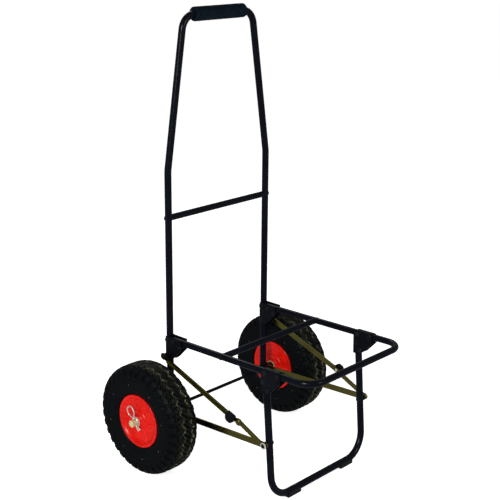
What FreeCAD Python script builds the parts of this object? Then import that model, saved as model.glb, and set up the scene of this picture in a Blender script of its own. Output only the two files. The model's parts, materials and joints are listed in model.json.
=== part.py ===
import FreeCAD, Part
import math
import os
import re

import Sketcher
from FreeCAD import Placement, Rotation, Vector

# Folding beach cart: a tall bent-tube handle frame on two pneumatic wheels, a folding platform with a
# U-shaped front leg, and a jointed strut on each side that braces the leg.
# Millimetres and degrees. X runs across the cart, -Y is forward and Z is up, with the floor at zero.
# "Reach" is a distance forward of the wheel axle, and "drop" a distance down.

SIZES = {
    # wheels and axle
    "wheel_diameter": 260,
    "tyre_width": 82,
    "tyre_wall": 5,
    "wheel_track": 460,
    "rim_diameter": 126,
    "rim_wall": 3.5,
    "hub_diameter": 34,
    "hub_length": 77.4,
    "bush_diameter": 24,
    "axle_diameter": 16,
    "axle_overhang": 11,
    "tie_rod_diameter": 8,
    "washer_diameter": 27,
    "valve_diameter": 7,
    "valve_length": 36,
    "valve_lean": 35,
    "clip_wire": 3,
    "clip_tilt": 33,
    "clip_tail": 21,
    "clip_loop_width": 19.5,
    "clip_loop_height": 27,
    # bent tubes
    "frame_width": 320,
    "frame_tube": 16,
    "frame_wall": 1.2,
    "deck_tube": 15,
    "bar_tube": 14.5,
    "grip_height": 1029,
    "grip_length": 155,
    "grip_diameter": 32,
    "taper_height": 695,
    "taper_inset": 58,
    "taper_bend": 70,
    "corner_bend": 36,
    "handle_bar_height": 589,
    # platform
    "deck_height": 302,
    "deck_rise": 1.1,
    "deck_pivot_reach": 21,
    "deck_length": 400,
    "deck_bar_place": 147,
    "deck_bend": 40,
    # front leg
    "leg_place": 276,
    "leg_drop": 20,
    "leg_lean": 4.5,
    "leg_bend": 55,
    "leg_pin_drop": 143,
    "foot_length": 40,
    "foot_spacing": 186,
    "foot_sole": 3.2,
    "foot_wall": 1.6,
    # pressed brackets
    "bracket_sheet": 1.8,
    "bracket_rise": 9.6,
    "bracket_depth": 57,
    "bracket_reach": 46,
    "bracket_nose": 24,
    "bracket_toe": 9.5,
    "near_rivet": 3.6,
    "far_rivet": 38,
    "deck_stop_place": 19,
    "leg_stop_place": 18,
    # struts
    "anchor_drop": 37,
    "strut_sheet": 3,
    "strut_width": 14,
    "strut_eye": 28,
    "arm_height": 11,
    "arm_depth": 5,
    "arm_sheet": 1.5,
    "link_length": 79.6,
    "link_width": 11,
    "knee_kink": 5,
    "catch_place": 19,
    "catch_size": 23,
    "catch_depth": 9,
    "catch_pin": 4,
    # pins, rivets and the room left round them
    "pin_diameter": 8,
    "rivet_diameter": 6,
    "head_diameter": 12,
    "head_height": 2.4,
    "running_gap": 0.05,
    "free_gap": 0.3,
}

# Worked out from the sizes: places along the cart, heights, and the layers of the struts across it.
LAYOUT = {
    "wheel_radius": "wheel_diameter / 2",
    "axle_y": "(deck_pivot_reach + deck_length * cos(deck_rise) + deck_tube / 2 - wheel_radius) / 2",
    "half_width": "frame_width / 2",
    "half_track": "wheel_track / 2",
    "tube_side": "half_width + frame_tube / 2",
    "cheek_half": "frame_tube / 2 + free_gap",
    "cheek_side": "half_width + cheek_half + bracket_sheet",
    "pin_hole": "pin_diameter / 2 + running_gap",
    # handle
    "corner_x": "grip_length / 2 + corner_bend * tan(45 - taper_angle / 2)",
    "taper_angle": "atan(taper_inset / (grip_height - taper_height)) / 1 deg",
    "collar_radius": "axle_diameter / 2 + 4",
    "pivot_y": "axle_y - deck_pivot_reach",
    "anchor_height": "deck_height - anchor_drop",
    "rear_top": "deck_height + bracket_rise",
    # platform tail turns just clear of the handle tube
    "deck_tail": "sqrt((deck_pivot_reach - frame_tube / 2 - 2 * free_gap)^2 - (deck_tube / 2)^2)",
    # the platform rests on a stop pin in each rear bracket
    "deck_stop_fall": "deck_tube / 2 / cos(deck_rise) + rivet_diameter / 2 + free_gap"
                      " - deck_stop_place * tan(deck_rise)",
    # leg pivot, and the leg's top turning just clear of the platform tube
    "leg_reach": "deck_pivot_reach + leg_place * cos(deck_rise) + leg_drop * sin(deck_rise)",
    "leg_height": "deck_height + leg_place * sin(deck_rise) - leg_drop * cos(deck_rise)",
    "leg_top": "sqrt((leg_drop - deck_tube / 2 - 2 * free_gap)^2 - (frame_tube / 2)^2)",
    "leg_run": "(leg_height - foot_sole - frame_tube / 2) / cos(leg_lean)",
    "leg_splay": "leg_lean - deck_rise",
    "leg_stop_gap": "(frame_tube + rivet_diameter) / 2 + free_gap",
    "leg_stop_along": "leg_stop_place * sin(leg_splay) + leg_stop_gap * cos(leg_splay)",
    "leg_stop_down": "leg_drop + leg_stop_place * cos(leg_splay) - leg_stop_gap * sin(leg_splay)",
    # the strut pin on the leg
    "brace_reach": "leg_reach + leg_pin_drop * sin(leg_lean)",
    "brace_height": "leg_height - leg_pin_drop * cos(leg_lean)",
    # lower strut, from the axle to the pin on the leg
    "strut_run": "sqrt(brace_reach^2 + (brace_height - wheel_radius)^2)",
    "strut_pitch": "asin((brace_height - wheel_radius) / strut_run) / 1 deg",
    # upper strut: its two pieces meet at a knee, a little above the straight line between their ends
    "span": "sqrt(brace_reach^2 + (anchor_height - brace_height)^2)",
    "span_pitch": "-asin((anchor_height - brace_height) / span) / 1 deg",
    "arm_run": "sqrt(span^2 - (link_length * sin(knee_kink))^2) - link_length * cos(knee_kink)",
    "arm_lift": "asin(link_length * sin(knee_kink) / span) / 1 deg",
    "arm_pitch": "span_pitch + arm_lift",
    "link_pitch": "arm_pitch - knee_kink",
    "knee_reach": "arm_run * cos(arm_pitch)",
    "knee_height": "anchor_height + arm_run * sin(arm_pitch)",
    # layers outward from the leg tube
    "inner_cheek": "half_width - cheek_half - bracket_sheet",
    "inner_tube_side": "half_width - frame_tube / 2",
    "strut_x": "cheek_side + head_height + free_gap",
    "link_x": "strut_x + strut_sheet + 1.8",
    "arm_x": "link_x + strut_sheet + free_gap",
    "catch_x": "arm_x + arm_depth + free_gap",
    "hub_inner": "half_track - hub_length / 2",
    "hub_outer": "half_track + hub_length / 2",
    "clip_x": "hub_outer + 3.6",
    "axle_end": "clip_x + axle_overhang",
    # where the spring clip's shank and its bowed leg pass the axle
    "clip_neck": "axle_diameter / 2 + 3.5",
    "clip_bow": "axle_diameter / 2 + 2.6",
    # wheel section, as radii and half widths
    "rim_radius": "rim_diameter / 2",
    "seat_radius": "rim_radius - 9",
    "lip_x": "tyre_width / 2 - 6.5",
    "section": "wheel_radius - rim_radius",
}

doc = FreeCAD.newDocument("beach_cart")


def make_sheet(name, cells, formula):
    """A spreadsheet with one named value in each row."""
    sheet = doc.addObject("Spreadsheet::Sheet", name)
    for row, (alias, content) in enumerate(cells.items(), 1):
        sheet.set(f"A{row}", alias)
        sheet.set(f"B{row}", "=" + bind(content) if formula else str(content))
        sheet.setAlias(f"B{row}", alias)
    return sheet


def bind(text):
    """Put the sheet's name before each size in a formula."""
    def sheet_name(word):
        name = word.group()
        if name in SIZES:
            return "Sizes." + name
        return "Layout." + name if name in LAYOUT else name
    return re.sub(r"[a-z][a-z_]+", sheet_name, text)


sizes = make_sheet("Sizes", SIZES, False)
make_sheet("Layout", LAYOUT, True)
doc.recompute()


def value(text):
    """The number that a formula gives now."""
    number = sizes.evalExpression(bind(text))
    return float(getattr(number, "Value", number))


# ---- placing and sketching ----

def place(thing, x="0", y="0", z="0", tilt=None):
    """Put a piece at a point, pitched about X so that its -Y side rises by the tilt."""
    if tilt:
        thing.Placement = Placement(Vector(), Rotation(Vector(-1, 0, 0), value(tilt)))
        thing.setExpression("Placement.Rotation.Angle", bind(tilt))
    for axis, text in (("x", x), ("y", y), ("z", z)):
        thing.setExpression("Placement.Base." + axis, bind(text))
    return thing


def new_body(label, x="0", y="0", z="0", tilt=None):
    body = doc.addObject("PartDesign::Body", label)
    return place(body, x, y, z, tilt)


def new_sketch(body, role, offset="0"):
    """A sketch on one of the body's own planes, moved along the plane's normal."""
    plane = [item for item in body.Origin.OriginFeatures if item.Role == role][0]
    sketch = body.newObject("Sketcher::SketchObject", body.Name + "_sketch")
    sketch.AttachmentSupport = (plane, [""])
    sketch.MapMode = "FlatFace"
    sketch.setExpression("AttachmentOffset.Base.z", bind(offset))
    return sketch


def drive(sketch, kind, *terms):
    """Add a constraint whose last term is a formula, and tie it to the sheet."""
    *where, text = terms
    index = sketch.addConstraint(Sketcher.Constraint(kind, *where, value(text)))
    sketch.setExpression(f"Constraints[{index}]", bind(text))


def pin_point(sketch, item, end, x, y):
    """Hold a point at a place given by two formulas."""
    for kind, text, axis in (("DistanceX", x, -2), ("DistanceY", y, -1)):
        if text == "0":
            sketch.addConstraint(Sketcher.Constraint("PointOnObject", item, end, axis))
        else:
            drive(sketch, kind, -1, 1, item, end, text)


def circle(sketch, x, y, radius):
    centre = Vector(value(x), value(y), 0)
    item = sketch.addGeometry(Part.Circle(centre, Vector(0, 0, 1), value(radius)), False)
    drive(sketch, "Radius", item, radius)
    pin_point(sketch, item, 3, x, y)


def rounded_line(sketch, corners, closed=True):
    """Straight runs between corners (x, y, radius), with a tangent arc where the radius isn't None."""
    first_run = sketch.GeometryCount
    points = [Vector(value(x), value(y), 0) for x, y, radius in corners]
    count = len(corners)
    runs = count if closed else count - 1
    leave = list(points)
    arrive = list(points)
    arcs = {}
    for i, (x, y, radius) in enumerate(corners):
        if radius is None:
            continue
        back = (points[i - 1] - points[i]).normalize()
        on = (points[(i + 1) % count] - points[i]).normalize()
        half = back.getAngle(on) / 2
        cut = value(radius) / math.tan(half)
        arrive[i] = points[i] + back * cut
        leave[i] = points[i] + on * cut
        centre = points[i] + (back + on).normalize() * (value(radius) / math.sin(half))
        left_turn = back.cross(on).z < 0
        ends = (arrive[i], leave[i]) if left_turn else (leave[i], arrive[i])
        start, stop = [math.atan2(p.y - centre.y, p.x - centre.x) for p in ends]
        ring = Part.Circle(centre, Vector(0, 0, 1), value(radius))
        arcs[i] = (Part.ArcOfCircle(ring, start, stop), left_turn)
    for i in range(runs):
        sketch.addGeometry(Part.LineSegment(leave[i], arrive[(i + 1) % count]), False)
    for i, (x, y, radius) in enumerate(corners):
        before = first_run + (i - 1) % count
        after = first_run + i
        if radius is None:
            if closed or 0 < i < count - 1:
                sketch.addConstraint(Sketcher.Constraint("Coincident", before, 2, after, 1))
            if i < runs:
                pin_point(sketch, after, 1, x, y)
            else:
                pin_point(sketch, before, 2, x, y)
            continue
        arc, left_turn = arcs[i]
        bend = sketch.addGeometry(arc, False)
        corner = sketch.addGeometry(Part.Point(points[i]), True)
        first, last = (1, 2) if left_turn else (2, 1)
        sketch.addConstraint([
            Sketcher.Constraint("Tangent", before, 2, bend, first),
            Sketcher.Constraint("Tangent", after, 1, bend, last),
            Sketcher.Constraint("PointOnObject", corner, 1, before),
            Sketcher.Constraint("PointOnObject", corner, 1, after),
        ])
        pin_point(sketch, corner, 1, x, y)
        drive(sketch, "Radius", bend, radius)


def rectangle(sketch, left, right, low, high):
    rounded_line(sketch, [(left, low, None), (right, low, None), (right, high, None), (left, high, None)])


# ---- features ----

def pad(body, sketch, length):
    feature = body.newObject("PartDesign::Pad", body.Name + "_pad")
    feature.Profile = sketch
    feature.setExpression("Length", bind(length))
    doc.recompute()
    return feature


def pocket_through(body, sketch):
    """Cut a sketch right through the body, both ways."""
    feature = body.newObject("PartDesign::Pocket", body.Name + "_pocket")
    feature.Profile = sketch
    feature.Type = "ThroughAll"
    feature.Midplane = True
    before = body.Shape.Volume
    doc.recompute()
    if body.Shape.Volume >= before:
        raise RuntimeError(f"a cut in {body.Label} removes nothing")
    return feature


def bore(body, *holes):
    """Round holes across the body, each (y, z, radius) on its own YZ plane."""
    sketch = new_sketch(body, "YZ_Plane")
    for y, z, radius in holes:
        circle(sketch, y, z, radius)
    pocket_through(body, sketch)


def revolve(body, corners):
    """Turn an outline (x, radius) about the body's X axis."""
    sketch = new_sketch(body, "XZ_Plane")
    rounded_line(sketch, corners)
    feature = body.newObject("PartDesign::Revolution", body.Name + "_turned")
    feature.Profile = sketch
    feature.ReferenceAxis = (sketch, ["H_Axis"])
    feature.Angle = 360
    doc.recompute()
    return body


def bent_tube(body, route, plane, mouth_plane, mouth, diameter, wall=None, offset="0"):
    """A round tube along a rounded route. The mouth is its first end, (x, y) on the mouth plane."""
    path = new_sketch(body, plane)
    rounded_line(path, route, closed=False)
    ring = new_sketch(body, mouth_plane, offset)
    circle(ring, *mouth, f"{diameter} / 2")
    if wall:
        circle(ring, *mouth, f"{diameter} / 2 - {wall}")
    feature = body.newObject("PartDesign::AdditivePipe", body.Name + "_pipe")
    feature.Profile = ring
    feature.Spine = path
    doc.recompute()
    return body


def rod(name, diameter, start, end, y, z, hole=None):
    """A round bar along X, hollow where a hole is given."""
    def bar(label, size):
        solid = doc.addObject("Part::Cylinder", label)
        solid.setExpression("Radius", bind(f"({size}) / 2"))
        solid.setExpression("Height", bind(f"({end}) - ({start})"))
        solid.Placement = Placement(Vector(), Rotation(Vector(0, 1, 0), 90))
        return place(solid, start, y, z)
    outer = bar(name, diameter)
    return subtract(name + "_ring", outer, bar(name + "_hole", hole)) if hole else outer


def head(name, side_x, outward, y, z):
    """A low rivet head that stands out from a face across X."""
    solid = doc.addObject("Part::Cone", name)
    solid.setExpression("Radius1", bind("head_diameter / 2"))
    solid.setExpression("Radius2", bind("head_diameter / 3"))
    solid.setExpression("Height", bind("head_height"))
    solid.Placement = Placement(Vector(), Rotation(Vector(0, 1, 0), 90 * outward))
    return place(solid, side_x, y, z)


def fuse(label, *solids):
    joined = doc.addObject("Part::MultiFuse", label)
    joined.Shapes = list(solids)
    return joined


def subtract(label, base, tool):
    rest = doc.addObject("Part::Cut", label)
    rest.Base = base
    rest.Tool = tool
    return rest


def mirrored(label, source):
    """The same piece on the other side of the cart."""
    copy = doc.addObject("Part::Mirroring", label)
    copy.Source = source
    copy.Normal = Vector(1, 0, 0)
    return copy


def both_sides(label, *right_side):
    """Separate like pieces: those given on the right side, and their mirror images."""
    group = doc.addObject("Part::Compound", label)
    group.Links = [piece for solid in right_side for piece in (solid, mirrored(label + "_left", solid))]
    return group


def riveted_pin(name, diameter, start, end, y, z):
    """A pin along X with a head on each end, its shank from one outer face to the other."""
    return fuse(name, rod(name + "_shank", diameter, start, end, y, z),
                head(name + "_outer", end, 1, y, z), head(name + "_inner", start, -1, y, z))


# ---- handle frame and what is fixed to it ----

AXLE = {"y": "axle_y", "z": "wheel_radius"}


def make_handle_frame():
    """One bent tube: up from the axle collars, in to the grip and down again."""
    body = new_body("handle_frame", y="axle_y")
    side = [("-half_width", "wheel_radius", None), ("-half_width", "taper_height", "taper_bend"),
            ("-corner_x", "grip_height", "corner_bend")]
    other = [(x.replace("-", ""), z, radius) for x, z, radius in reversed(side)]
    bent_tube(body, side + other, "XZ_Plane", "XY_Plane", ("-half_width", "0"),
              "frame_tube", "frame_wall", "wheel_radius")
    bore(body, ("0", "wheel_radius", "collar_radius"))
    bore(body, ("0", "anchor_height", "pin_diameter / 2"), ("0", "deck_height", "rivet_diameter / 2"),
         ("0", "handle_bar_height", "rivet_diameter / 2"))
    return body


def make_crossbar(label, half_length, diameter, y, z):
    """A straight tube across the cart, its ends coped to the side tubes."""
    outer = rod(label + "_bar", diameter, f"-({half_length})", half_length, y, z)
    inner = rod(label + "_bore", f"{diameter} - 2 * frame_wall", f"-({half_length})", half_length, y, z)
    return subtract(label + "_tube", outer, inner)


def make_handle_crossbar():
    bar = make_crossbar("handle_bar", "half_width", "bar_tube", y="axle_y", z="handle_bar_height")
    tubes = [upright("handle_cope_" + name, x, "axle_y", "frame_tube", "handle_bar_height - frame_tube",
                     "2 * frame_tube") for name, x in (("left", "-half_width"), ("right", "half_width"))]
    return subtract("handle_crossbar", bar, fuse("handle_cope", *tubes))


def upright(name, x, y, diameter, low, height):
    """A vertical round bar."""
    solid = doc.addObject("Part::Cylinder", name)
    solid.setExpression("Radius", bind(f"{diameter} / 2"))
    solid.setExpression("Height", bind(height))
    return place(solid, x, y, low)


def make_crossbar_screws():
    """A screw through each handle tube into the end of the crossbar."""
    inner = "tube_side - frame_tube - 12"
    shank = rod("crossbar_screw_shank", "rivet_diameter", inner, "tube_side", "axle_y", "handle_bar_height")
    cap = head("crossbar_screw_head", "tube_side", 1, "axle_y", "handle_bar_height")
    screw = fuse("crossbar_screw", shank, cap)
    return both_sides("crossbar_screws", screw)


def make_handle_grip():
    """Foam sleeve with rounded ends on the top of the handle."""
    body = new_body("handle_grip", y="axle_y", z="grip_height")
    half = "grip_length / 2"
    return revolve(body, [(f"-{half}", "frame_tube / 2", None), (half, "frame_tube / 2", None),
                          (half, "grip_diameter / 2", "grip_diameter / 6"),
                          (f"-{half}", "grip_diameter / 2", "grip_diameter / 6")])


def make_axle_collar():
    """Welded collar at the foot of the handle tube, which holds the axle."""
    return rod("axle_collar", "2 * collar_radius", "half_width - frame_tube / 2 - 3", "strut_x - free_gap",
               **AXLE, hole="axle_diameter")


def make_axle():
    """Stub axle with a cross hole for the clip and a tapped hole for the tie rod."""
    inner = "half_width - frame_tube / 2 - 3"
    stub = rod("axle_stub", "axle_diameter", inner, "axle_end", **AXLE)
    socket = rod("axle_socket", "tie_rod_diameter", inner, f"{inner} + 12", **AXLE)
    cross = doc.addObject("Part::Cylinder", "axle_cross_hole")
    cross.setExpression("Radius", bind("clip_wire / 2"))
    cross.setExpression("Height", bind("2 * axle_diameter"))
    place(cross, "clip_x", "axle_y - axle_diameter * sin(clip_tilt)",
          "wheel_radius - axle_diameter * cos(clip_tilt)", tilt="clip_tilt")
    return subtract("axle", stub, fuse("axle_cuts", socket, cross))


def make_tie_rod():
    """Thin rod that ties the two stub axles together."""
    end = "half_width - frame_tube / 2 + 9"
    return rod("tie_rod", "tie_rod_diameter", f"-({end})", end, **AXLE)


def make_axle_spacers():
    """Sleeve on each axle between the lower strut and the wheel."""
    sleeve = rod("axle_spacer", "axle_diameter + 6", "strut_x + strut_sheet + free_gap",
                 "hub_inner - 2 - free_gap", **AXLE, hole="axle_diameter")
    return both_sides("axle_spacers", sleeve)


def make_hub_washers():
    """Plated washers on each side of both hubs."""
    inner = rod("hub_washer_inner", "washer_diameter", "hub_inner - 2 - free_gap", "hub_inner - free_gap",
                **AXLE, hole="axle_diameter")
    outer = rod("hub_washer_outer", "axle_diameter + 6", "hub_outer + free_gap",
                "hub_outer + free_gap + 1.5", **AXLE, hole="axle_diameter")
    return both_sides("hub_washers", inner, outer)


def make_clip():
    """Spring wire clip: one leg through the axle, a loop, and a leg bowed round the axle."""
    body = new_body("r_clip", "clip_x", "axle_y", "wheel_radius", tilt="clip_tilt")
    apart = "(clip_wire + free_gap)"
    back = f"(clip_loop_width - {apart}) / 2"
    front = f"-(clip_loop_width + {apart}) / 2"
    top = "clip_neck + clip_loop_height"
    swell = "clip_neck + clip_loop_height / 3"
    bow_turn = "clip_bow / 2"
    route = [("0", "-clip_tail", None),
             ("0", "clip_neck", "2 * clip_wire"),
             (f"{back} + 1", swell, "3 * clip_wire"),
             (back, top, "clip_loop_width * 0.42"),
             (front, top, "clip_loop_width * 0.42"),
             (f"{front} - 1", swell, "3 * clip_wire"),
             (f"-{apart}", "clip_neck", "clip_wire"),
             ("-clip_bow", bow_turn, "2 * clip_wire"),
             ("-clip_bow", f"-{bow_turn}", "2 * clip_wire"),
             (f"-1.2 * {apart}", "-clip_neck", "1.3 * clip_wire"),
             (f"-2.3 * {apart}", "-clip_tail", None)]
    return bent_tube(body, route, "YZ_Plane", "XY_Plane", ("0", "0"), "clip_wire",
                     offset="-clip_tail")


def cheek_outline(body, heel):
    """Pad the bracket's side view to its full width. Its top edge is the body's XY plane."""
    cheek = new_sketch(body, "YZ_Plane", "-(cheek_half + bracket_sheet)")
    knuckle_reach = "0.36 * (bracket_toe + bracket_reach)"
    rounded_line(cheek, [
        (heel, "0", None), ("-bracket_reach", "0", None), ("-bracket_reach", "-bracket_nose", "4"),
        (f"-{knuckle_reach}", "-0.89 * bracket_depth", "12"),
        ("-bracket_toe", "-bracket_depth", "5"), (heel, "-bracket_depth", None)])
    return pad(body, cheek, "2 * (cheek_half + bracket_sheet)")


def round_fold(body, block, on_fold):
    """Round the two outer edges where the bracket's sheet folds over a tube."""
    side = value("cheek_half + bracket_sheet")
    names = []
    for number, edge in enumerate(block.Shape.Edges, 1):
        points = [vertex.Point for vertex in edge.Vertexes]
        if all(on_fold(point) and abs(abs(point.x) - side) < 0.01 for point in points):
            names.append(f"Edge{number}")
    fold = body.newObject("PartDesign::Fillet", body.Name + "_fold")
    fold.Base = (block, names)
    fold.setExpression("Radius", bind("cheek_half + bracket_sheet - 0.8"))
    doc.recompute()


def make_rear_bracket():
    """Pressed U round the handle tube with its web behind, open above so the platform can rise."""
    body = new_body("rear_bracket_right", "half_width", "axle_y", "rear_top")
    block = cheek_outline(body, "frame_tube / 2 + bracket_sheet")
    heel = value("frame_tube / 2 + bracket_sheet")
    round_fold(body, block, lambda point: abs(point.y - heel) < 0.01)
    channel = new_sketch(body, "XY_Plane")
    rounded_line(channel, [("-cheek_half", "-2 * bracket_reach", None),
                           ("cheek_half", "-2 * bracket_reach", None),
                           ("cheek_half", "frame_tube / 2", "cheek_half - 0.5"),
                           ("-cheek_half", "frame_tube / 2", "cheek_half - 0.5")])
    pocket_through(body, channel)
    bore(body, ("0", "-bracket_rise", "rivet_diameter / 2"),
         ("0", "-(bracket_rise + anchor_drop)", "pin_diameter / 2"),
         ("-deck_pivot_reach", "-bracket_rise", "pin_diameter / 2"),
         ("-(deck_pivot_reach + deck_stop_place)", "-(bracket_rise + deck_stop_fall)",
          "rivet_diameter / 2"))
    return body


def bracket_pins(name, diameter, **where):
    """Headed pins through both cheeks of the like brackets on each side."""
    return both_sides(name, riveted_pin(name + "_right", diameter, "inner_cheek", "cheek_side", **where))


def make_rear_bracket_rivets():
    return bracket_pins("rear_bracket_rivets", "rivet_diameter", y="axle_y", z="deck_height")


def make_platform_pivot_pins():
    return bracket_pins("platform_pivot_pins", "pin_diameter", y="pivot_y", z="deck_height")


def make_platform_stop_pins():
    return bracket_pins("platform_stop_pins", "rivet_diameter", y="pivot_y - deck_stop_place",
                        z="deck_height - deck_stop_fall")


def make_strut_anchor_bolts():
    """Shouldered bolt through bracket and handle tube, on which the upper strut turns."""
    where = {"y": "axle_y", "z": "anchor_height"}
    end = "arm_x + arm_sheet + free_gap"
    shank = rod("anchor_shank", "pin_diameter", "inner_cheek", end, **where)
    shoulder = rod("anchor_shoulder", "head_diameter", "cheek_side", "arm_x - free_gap", **where)
    bolt = fuse("anchor_bolt", shank, shoulder, head("anchor_outer", end, 1, **where),
                head("anchor_inner", "inner_cheek", -1, **where))
    return both_sides("strut_anchor_bolts", bolt)


# ---- platform: pieces that rise with it ----

def on_deck(along, up="0"):
    """A place on the platform, from its pivot: along its tubes and up from their centre line."""
    return {"y": f"pivot_y - (({along}) * cos(deck_rise) - ({up}) * sin(deck_rise))",
            "z": f"deck_height + ({along}) * sin(deck_rise) + ({up}) * cos(deck_rise)"}


def make_platform_frame():
    """U-shaped tube with rounded front corners, pivoted at its two tails."""
    body = new_body("platform_frame", y="pivot_y", z="deck_height", tilt="deck_rise")
    side = [("-half_width", "deck_tail", None), ("-half_width", "-deck_length", "deck_bend")]
    other = [(x.replace("-", ""), y, radius) for x, y, radius in reversed(side)]
    bent_tube(body, side + other, "XY_Plane", "XZ_Plane", ("-half_width", "0"),
              "deck_tube", "frame_wall", "-deck_tail")
    bore(body, ("0", "0", "pin_hole"), ("-deck_bar_place", "0", "rivet_diameter / 2"),
         ("-(leg_place + near_rivet)", "0", "rivet_diameter / 2"),
         ("-(leg_place + far_rivet)", "0", "rivet_diameter / 2"))
    return body


def make_platform_crossbar():
    """Tube across the platform, coped to the side tubes."""
    where = on_deck("deck_bar_place")
    bar = make_crossbar("platform_bar", "half_width", "bar_tube", **where)
    tubes = []
    for name, x in (("left", "-half_width"), ("right", "half_width")):
        tube = doc.addObject("Part::Cylinder", "platform_cope_" + name)
        tube.setExpression("Radius", bind("deck_tube / 2"))
        tube.setExpression("Height", bind("2 * deck_tube"))
        tube.Placement = Placement(Vector(), Rotation(Vector(1, 0, 0), value("90 - deck_rise")))
        tube.setExpression("Placement.Rotation.Angle", bind("90 - deck_rise"))
        tubes.append(place(tube, x, **on_deck("deck_bar_place - deck_tube")))
    return subtract("platform_crossbar", bar, fuse("platform_cope", *tubes))


def make_platform_crossbar_rivets():
    where = on_deck("deck_bar_place")
    side = "half_width + deck_tube / 2"
    shank = rod("platform_rivet_shank", "rivet_diameter", f"{side} - deck_tube - 10", side, **where)
    rivet = fuse("platform_rivet", shank, head("platform_rivet_head", side, 1, **where))
    return both_sides("platform_crossbar_rivets", rivet)


def make_front_bracket():
    """The same pressed U turned over the platform tube, open behind so the leg can fold back."""
    body = new_body("front_bracket_right", "half_width", tilt="deck_rise",
                    **on_deck("leg_place", "bracket_rise"))
    block = cheek_outline(body, "frame_tube / 2 - 1")
    round_fold(body, block, lambda point: abs(point.z) < 0.01)
    channel = new_sketch(body, "XZ_Plane")
    rounded_line(channel, [("-cheek_half", "-2 * bracket_depth", None),
                           ("cheek_half", "-2 * bracket_depth", None),
                           ("cheek_half", "-bracket_sheet", "deck_tube / 2 - 0.2"),
                           ("-cheek_half", "-bracket_sheet", "deck_tube / 2 - 0.2")])
    pocket_through(body, channel)
    bore(body, ("-near_rivet", "-bracket_rise", "rivet_diameter / 2"),
         ("-far_rivet", "-bracket_rise", "rivet_diameter / 2"),
         ("0", "-(bracket_rise + leg_drop)", "pin_diameter / 2"),
         ("-leg_stop_along", "-(bracket_rise + leg_stop_down)", "rivet_diameter / 2"))
    return body


def make_front_bracket_rivets():
    rivets = [riveted_pin("front_rivet_" + name, "rivet_diameter", "inner_cheek", "cheek_side",
                          **on_deck(f"leg_place + {name}")) for name in ("near_rivet", "far_rivet")]
    return both_sides("front_bracket_rivets", *rivets)


def make_leg_pivot_pins():
    return bracket_pins("leg_pivot_pins", "pin_diameter", **on_deck("leg_place", "-leg_drop"))


def make_leg_stop_pins():
    return bracket_pins("leg_stop_pins", "rivet_diameter",
                        **on_deck("leg_place + leg_stop_along", "-leg_stop_down"))


# ---- front leg ----

def make_leg_frame():
    """U-shaped tube whose two tops turn in the front brackets."""
    body = new_body("leg_frame", y="axle_y - leg_reach", z="leg_height", tilt="leg_lean")
    side = [("-half_width", "leg_top", None), ("-half_width", "-leg_run", "leg_bend")]
    other = [(x.replace("-", ""), z, radius) for x, z, radius in reversed(side)]
    bent_tube(body, side + other, "XZ_Plane", "XY_Plane", ("-half_width", "0"),
              "frame_tube", "frame_wall", "leg_top")
    bore(body, ("0", "0", "pin_hole"), ("0", "-leg_pin_drop", "pin_diameter / 2"))
    return body


def make_leg_strut_studs():
    """Stud through each leg tube with a bush outside it, where the struts meet the leg."""
    where = {"y": "axle_y - brace_reach", "z": "brace_height"}
    end = "strut_x - free_gap"
    stud = fuse("leg_stud", rod("leg_stud_shank", "pin_diameter", "inner_tube_side", end, **where),
                rod("leg_stud_bush", "strut_width", "tube_side", end, **where),
                head("leg_stud_head", "inner_tube_side", -1, **where))
    return both_sides("leg_strut_studs", stud)


def make_foot():
    """Rubber shoe under the leg's bottom bar, with a flat sole."""
    body = new_body("foot_right", "foot_spacing / 2", "axle_y - (leg_reach + leg_run * sin(leg_lean))",
                    "foot_sole + frame_tube / 2")
    shoe = new_sketch(body, "YZ_Plane", "-foot_length / 2")
    side = "(frame_tube / 2 + foot_wall)"
    sole = "-(frame_tube / 2 + foot_sole)"
    rounded_line(shoe, [(side, "2", None), (f"-{side}", "2", None), (f"-{side}", sole, "3.5"),
                        (side, sole, "3.5")])
    pad(body, shoe, "foot_length")
    bore(body, ("0", "0", "frame_tube / 2"))
    return body


# ---- struts ----

def flat_bar(body, layer, run, width, sheet):
    """A flat bar from the body's origin along -Y, with round ends."""
    plan = new_sketch(body, "YZ_Plane", layer)
    over = f"({width} / 2 + 0.5)"
    rounded_line(plan, [(over, f"-{width} / 2", f"0.48 * {width}"),
                        (f"-({run} + {over})", f"-{width} / 2", f"0.48 * {width}"),
                        (f"-({run} + {over})", f"{width} / 2", f"0.48 * {width}"),
                        (over, f"{width} / 2", f"0.48 * {width}")])
    pad(body, plan, sheet)


def add_disc(body, layer, y, radius, sheet):
    disc = new_sketch(body, "YZ_Plane", layer)
    circle(disc, y, "0", radius)
    pad(body, disc, sheet)


def make_lower_strut():
    """Flat bar from the axle to the leg. The middle of the leg's strut bolt is part of its end."""
    body = new_body("lower_strut_right", y="axle_y", z="wheel_radius", tilt="strut_pitch")
    flat_bar(body, "strut_x", "strut_run", "strut_width", "strut_sheet")
    add_disc(body, "strut_x", "0", "strut_eye / 2", "strut_sheet")
    bore(body, ("0", "0", "axle_diameter / 2 + running_gap"))
    return body


def make_upper_arm():
    """Long piece of the upper strut: a folded channel, flat at both pivots."""
    body = new_body("upper_arm_right", y="axle_y", z="anchor_height", tilt="arm_pitch")
    flat_bar(body, "arm_x", "arm_run", "arm_height", "arm_sheet")
    add_disc(body, "arm_x", "0", "0.75 * arm_height", "arm_sheet")
    add_disc(body, "arm_x", "-arm_run", "0.8 * arm_height", "arm_sheet")
    for low, high in (("arm_height / 2 - arm_sheet", "arm_height / 2"),
                      ("-arm_height / 2", "arm_sheet - arm_height / 2")):
        flange = new_sketch(body, "YZ_Plane", "arm_x")
        rectangle(flange, "-(arm_run - 1.2 * head_diameter)", "-1.2 * head_diameter", low, high)
        pad(body, flange, "arm_depth")
    bore(body, ("0", "0", "pin_hole"), ("-arm_run", "0", "rivet_diameter / 2"),
         ("-(arm_run - catch_place)", "0", "catch_pin / 2"))
    return body


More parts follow.
